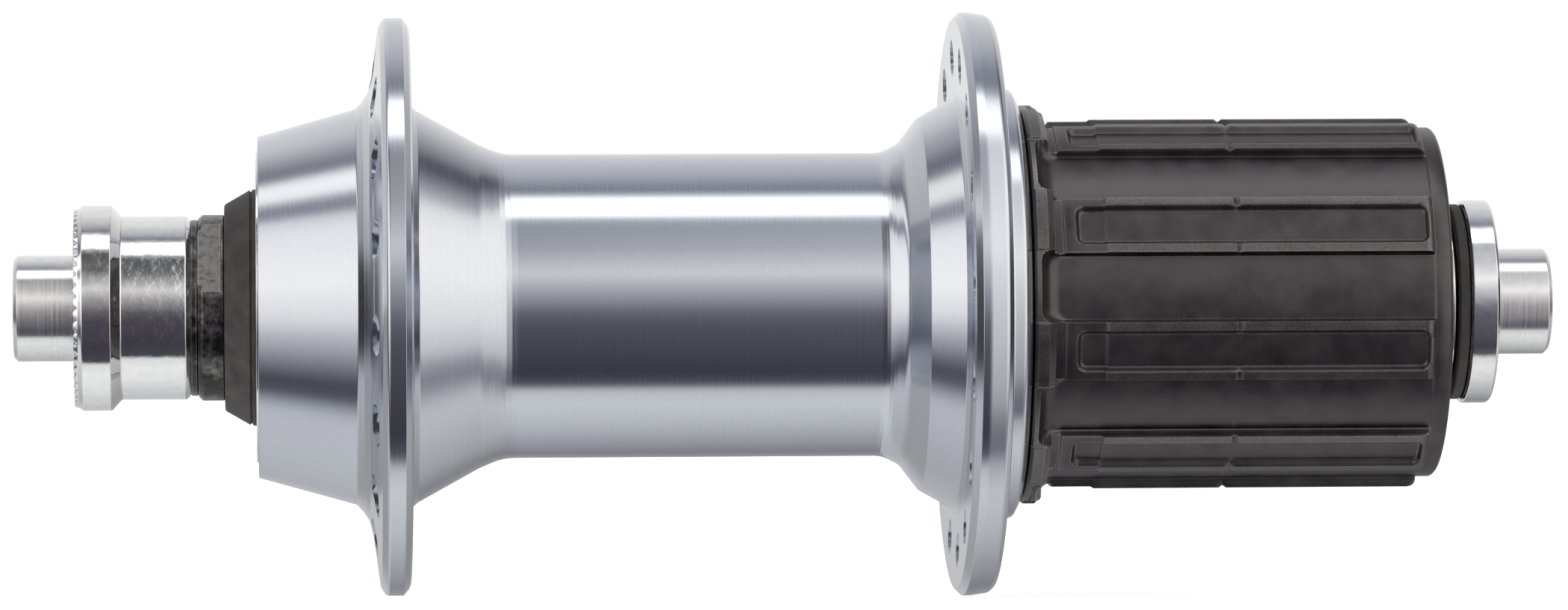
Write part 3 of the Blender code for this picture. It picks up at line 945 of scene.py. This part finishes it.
def freehub_radius(x, angle):
    away, half = ridge_near(angle)
    side = half - abs(away)
    top = along(x, RIDGE_LINE) - POCKET_DEPTH * pocket_share(x, side)
    top -= NOTCH_DEPTH * max(0.0, 1 - abs(x - NOTCH_X) / NOTCH_HALF) * (1 - pocket_share(x, side))
    floor = valley_radius(x, max(0.0, -side))
    share = rise(side, -WALL, WALL)
    return floor + (top - floor) * share


def ratchet_radius(angle):
    """The radius of the ratchet's ramps, each from its cut to its root."""
    pitch = 360 / RATCHET_TEETH
    share = (angle % pitch) / pitch
    return max(FREEHUB_BORE, RATCHET_CUT + (RATCHET_ROOT - RATCHET_CUT) * share)


def freehub_shape(x, r, angle):
    if r > RIDGE_RADIUS - 0.01:
        return x, freehub_radius(x, angle)
    if r == FREEHUB_BORE and RATCHET_START < x < RATCHET_END:
        return x, ratchet_radius(angle)
    return x, r


def spread(start, end, step):
    count = round((end - start) / step)
    return [start + (end - start) * i / count for i in range(count + 1)]


def freehub_lines():
    """Where the outer surface has a ring of vertices: close together at every change."""
    lines = spread(21.6, 24.3, 0.1) + spread(25.3, 28.6, 0.15) + spread(56.0, 58.3, 0.12)
    lines += spread(29.5, 55.5, 2.0) + spread(NOTCH_X - NOTCH_HALF, NOTCH_X + NOTCH_HALF, 0.175)
    lines += [x for x, _ in RIDGE_LINE] + [x for x, _ in VALLEY_LINE] + [POCKET_START]
    return sorted(set(round(x, 3) for x in lines))


def freehub_angles():
    """Even lines, with more at every ridge's walls and at the ratchet's steep faces."""
    angles = even_angles(480)
    pitch = 360 / SPLINES
    for number in range(SPLINES):
        width = KEY_RIDGE_WIDTH if number == SPLINES - 1 else RIDGE_WIDTH
        for wall in (-width / 2, width / 2):
            middle = SPLINE_PHASE + pitch * number + wall
            angles += [(middle + step * 0.15) % 360 for step in (-3, -2, -1, 0, 1, 2, 3)]
            inward = math.copysign(math.degrees(1 / RIDGE_RADIUS), -wall)
            for side in (0.02, 0.16, 0.3, 0.42, 0.5):
                angles.append((middle + inward * (POCKET_MARGIN + side)) % 360)
    steep = 0.05
    angles += [360 * tooth / RATCHET_TEETH - steep for tooth in range(1, RATCHET_TEETH + 1)]
    return sorted(set(round(angle, 3) for angle in angles))


def make_freehub_body():
    outer = [(x, RIDGE_RADIUS) for x in freehub_lines()]
    inner = [
        (59.8, 15.0),
        (OUTER_ROW_X + 1, 15.0),
        *small_race_arc(OUTER_ROW_X, 90, 180),
        (RATCHET_END + 0.02, FREEHUB_BORE),
        (RATCHET_END - 0.02, FREEHUB_BORE),
        (RATCHET_START + 0.02, FREEHUB_BORE),
        (RATCHET_START - 0.02, FREEHUB_BORE),
        *small_race_arc(INNER_ROW_X, 0, 90),
        (24.6, 15.6),
        (21.6, 15.6),
    ]
    turn("freehub_body", outer + inner, freehub_angles(), freehub_shape)


# Camera, floor and light


def make_camera():
    camera = bpy.data.objects.new("camera", bpy.data.cameras.new("camera"))
    bpy.context.scene.collection.objects.link(camera)
    bpy.context.scene.camera = camera
    camera.data.lens = CAMERA_LENS
    camera.data.sensor_width = CAMERA_SENSOR
    camera.location = (CAMERA_X * MM, -CAMERA_DISTANCE * MM, 0)
    camera.rotation_mode = "QUATERNION"
    roll = Matrix.Rotation(math.radians(CAMERA_ROLL), 4, "Z").to_quaternion()
    camera.rotation_quaternion = (-camera.location).to_track_quat("-Z", "Y") @ roll
    camera.data.clip_start = 0.01
    camera.data.clip_end = 20


def make_floor():
    low, _ = CAD_BOX
    bm = bmesh.new()
    bmesh.ops.create_grid(bm, x_segments=1, y_segments=1, size=FLOOR_SIZE / 2 * MM)
    bmesh.ops.translate(bm, verts=bm.verts, vec=(0, 0, low.z - FLOOR_GAP * MM))
    mesh = bpy.data.meshes.new("floor")
    bm.to_mesh(mesh)
    bm.free()
    floor = bpy.data.objects.new("floor", mesh)
    bpy.context.scene.collection.objects.link(floor)
    material, _, shader = new_material("pale_floor", 0.0, 0.8)
    shader.inputs["Base Color"].default_value = (0.8, 0.8, 0.8, 1)
    shader.inputs["Emission Color"].default_value = (1, 1, 1, 1)
    shader.inputs["Emission Strength"].default_value = 0.72
    mesh.materials.append(material)
    floor.visible_glossy = False


# What the studio shows to a glossy surface, as (degrees, colour) round the hub axis. 0 is towards the front,
# 90 straight up and -90 straight down. Between two angles the colour changes evenly. The lists hold
# straight ahead, where the tent is open round the camera, towards its lit walls on the left and right, and
# towards a dark card that fills the opening just left of the middle.
STUDIO_BRIGHTEST = 2.0
STUDIO_AHEAD = [
    (-180, (0.42, 0.42, 0.43)),
    (-149, (0.27, 0.27, 0.28)),
    (-124, (0.45, 0.45, 0.47)),
    (-100, (0.67, 0.67, 0.67)),
    (-80, (0.82, 0.82, 0.82)),
    (-68, (0.74, 0.74, 0.74)),
    (-62, (0.10, 0.10, 0.12)),
    (-52, (0.055, 0.052, 0.068)),
    (-15, (0.115, 0.11, 0.135)),
    (-6, (0.17, 0.165, 0.20)),
    (3, (0.36, 0.35, 0.39)),
    (14, (0.63, 0.62, 0.64)),
    (25, (0.93, 0.92, 0.92)),
    (45, (0.62, 0.62, 0.64)),
    (63, (0.47, 0.49, 0.53)),
    (69, (0.55, 0.56, 0.57)),
    (74, (2.0, 2.0, 2.0)),
    (88, (2.0, 2.0, 2.0)),
    (93, (0.60, 0.60, 0.63)),
    (98, (0.24, 0.25, 0.30)),
    (106, (0.36, 0.37, 0.42)),
    (117, (0.55, 0.56, 0.60)),
    (138, (0.72, 0.71, 0.72)),
    (180, (0.90, 0.90, 0.88)),
]
STUDIO_LEFT = [
    (-180, (0.38, 0.38, 0.38)),
    (-146, (0.45, 0.44, 0.43)),
    (-120, (0.55, 0.55, 0.56)),
    (-84, (0.69, 0.68, 0.70)),
    (-74, (0.65, 0.65, 0.66)),
    (-66, (0.36, 0.37, 0.40)),
    (-60, (0.11, 0.11, 0.14)),
    (-50, (0.08, 0.08, 0.10)),
    (-40, (0.25, 0.25, 0.28)),
    (-20, (0.70, 0.69, 0.71)),
    (-8, (1.08, 1.03, 1.00)),
    (15, (1.33, 1.28, 1.22)),
    (50, (1.22, 1.17, 1.13)),
    (60, (1.00, 1.00, 1.00)),
    (65, (0.36, 0.36, 0.40)),
    (71, (0.24, 0.24, 0.29)),
    (75, (0.40, 0.40, 0.44)),
    (79, (1.20, 1.16, 1.10)),
    (92, (1.20, 1.16, 1.10)),
    (97, (0.34, 0.34, 0.38)),
    (103, (0.17, 0.17, 0.21)),
    (108, (0.22, 0.21, 0.25)),
    (118, (0.42, 0.42, 0.45)),
    (135, (0.60, 0.58, 0.58)),
    (180, (0.90, 0.90, 0.88)),
]
STUDIO_RIGHT = [
    (-180, (0.32, 0.32, 0.32)),
    (-150, (0.36, 0.35, 0.34)),
    (-130, (0.52, 0.50, 0.49)),
    (-90, (0.74, 0.73, 0.73)),
    (-80, (0.68, 0.67, 0.67)),
    (-70, (0.42, 0.42, 0.44)),
    (-62, (0.28, 0.28, 0.32)),
    (-51, (0.40, 0.40, 0.42)),
    (-39, (0.78, 0.75, 0.76)),
    (-13, (1.07, 1.03, 0.99)),
    (26, (1.28, 1.23, 1.17)),
    (63, (1.27, 1.21, 1.16)),
    (81, (1.12, 1.08, 1.03)),
    (88, (0.62, 0.60, 0.62)),
    (98, (0.34, 0.34, 0.37)),
    (108, (0.12, 0.12, 0.14)),
    (116, (0.11, 0.11, 0.13)),
    (124, (0.32, 0.32, 0.34)),
    (140, (0.56, 0.54, 0.55)),
    (155, (0.76, 0.74, 0.70)),
    (180, (0.90, 0.90, 0.88)),
]
STUDIO_CARD = [
    (-180, (0.60, 0.60, 0.61)),
    (-149, (0.56, 0.56, 0.57)),
    (-124, (0.66, 0.66, 0.67)),
    (-100, (0.82, 0.82, 0.82)),
    (-80, (0.86, 0.86, 0.86)),
    (-67, (0.76, 0.76, 0.76)),
    (-62, (0.06, 0.06, 0.07)),
    (-45, (0.05, 0.045, 0.06)),
    (-15, (0.065, 0.06, 0.075)),
    (-5, (0.11, 0.105, 0.12)),
    (10, (0.34, 0.33, 0.33)),
    (22, (0.66, 0.65, 0.64)),
    (30, (0.45, 0.44, 0.44)),
    (43, (0.13, 0.13, 0.13)),
    (64, (0.10, 0.10, 0.11)),
    (70, (0.45, 0.45, 0.46)),
    (73, (2.0, 2.0, 2.0)),
    (87, (2.0, 2.0, 2.0)),
    (92, (0.55, 0.55, 0.56)),
    (97, (0.22, 0.22, 0.24)),
    (106, (0.46, 0.47, 0.49)),
    (128, (0.76, 0.76, 0.76)),
    (180, (0.90, 0.90, 0.88)),
]
# How far to the side the walls start and end, as the x of a direction, and what lies beyond them
CARD = (0.006, -0.008)
LEFT_WALL = (-0.20, -0.45)
RIGHT_WALL = (0.13, 0.50)
WALL_END = (0.93, 0.985)
BEYOND_WALLS = (0.04, 0.04, 0.045)


def studio_band(tree, turned, band):
    """The colours of one list, at the angle round the hub axis."""
    ramp = tree.nodes.new("ShaderNodeValToRGB")
    stops = ramp.color_ramp.elements
    for _ in band[2:]:
        stops.new(0.5)
    for stop, (degrees, colour) in zip(stops, band):
        stop.position = degrees / 360 + 0.5
        stop.color = (*(c / STUDIO_BRIGHTEST for c in colour), 1)
    tree.links.new(turned, ramp.inputs[0])
    return ramp.outputs[0]


def sideways(tree, x, limits):
    """A smooth 0 to 1 between two limits of x."""
    node = tree.nodes.new("ShaderNodeMapRange")
    node.interpolation_type = "SMOOTHSTEP"
    node.inputs["From Min"].default_value = limits[0]
    node.inputs["From Max"].default_value = limits[1]
    tree.links.new(x, node.inputs["Value"])
    return node.outputs[0]


def make_world():
    """White to the camera, and to everything else a light tent with an opening round the camera."""
    world = bpy.data.worlds.new("studio")
    bpy.context.scene.world = world
    world.use_nodes = True
    tree = world.node_tree
    tree.nodes.clear()
    parts = tree.nodes.new("ShaderNodeSeparateXYZ")
    tree.links.new(tree.nodes.new("ShaderNodeTexCoord").outputs["Generated"], parts.inputs[0])
    forward = calculate(tree, "MULTIPLY", parts.outputs["Y"], -1)
    turned = calculate(tree, "ARCTAN2", parts.outputs["Z"], forward)
    turned = calculate(tree, "ADD", calculate(tree, "DIVIDE", turned, 2 * math.pi), 0.5)
    x = parts.outputs["X"]
    colour = studio_band(tree, turned, STUDIO_AHEAD)
    sides = ((STUDIO_CARD, CARD), (STUDIO_LEFT, LEFT_WALL), (STUDIO_RIGHT, RIGHT_WALL))
    for band, limits in sides:
        colour = blend_colours(tree, sideways(tree, x, limits), colour, studio_band(tree, turned, band))
    past = sideways(tree, calculate(tree, "ABSOLUTE", x), WALL_END)
    colour = blend_colours(tree, past, colour, [c / STUDIO_BRIGHTEST for c in BEYOND_WALLS])
    studio = tree.nodes.new("ShaderNodeBackground")
    studio.inputs["Strength"].default_value = STUDIO_BRIGHTEST
    tree.links.new(colour, studio.inputs["Color"])
    white = tree.nodes.new("ShaderNodeBackground")
    white.inputs["Color"].default_value = (1, 1, 1, 1)
    choice = tree.nodes.new("ShaderNodeMixShader")
    tree.links.new(tree.nodes.new("ShaderNodeLightPath").outputs["Is Camera Ray"], choice.inputs[0])
    tree.links.new(studio.outputs[0], choice.inputs[1])
    tree.links.new(white.outputs[0], choice.inputs[2])
    output = tree.nodes.new("ShaderNodeOutputWorld")
    tree.links.new(choice.outputs[0], output.inputs["Surface"])
    bpy.context.scene.view_settings.view_transform = "Standard"


def dress_remaining_nodes():
    """CAD nodes whose shape is shown as it is take their slot's finish."""
    for name, node in frame["nodes"].items():
        node.data.materials.clear()
        node.data.materials.append(FINISH[SLOT_OF[name]])


make_camera()
make_floor()
make_world()
dress_remaining_nodes()
make_axle()
make_left_locknut()
make_right_locknut()
make_left_cone()
make_left_seal()
make_right_cone()
make_plain_rings()
make_hub_shell()
make_left_cup()
make_left_dust_cap()
make_locking_cup()
make_large_balls()
make_small_rows()
make_freehub_body()
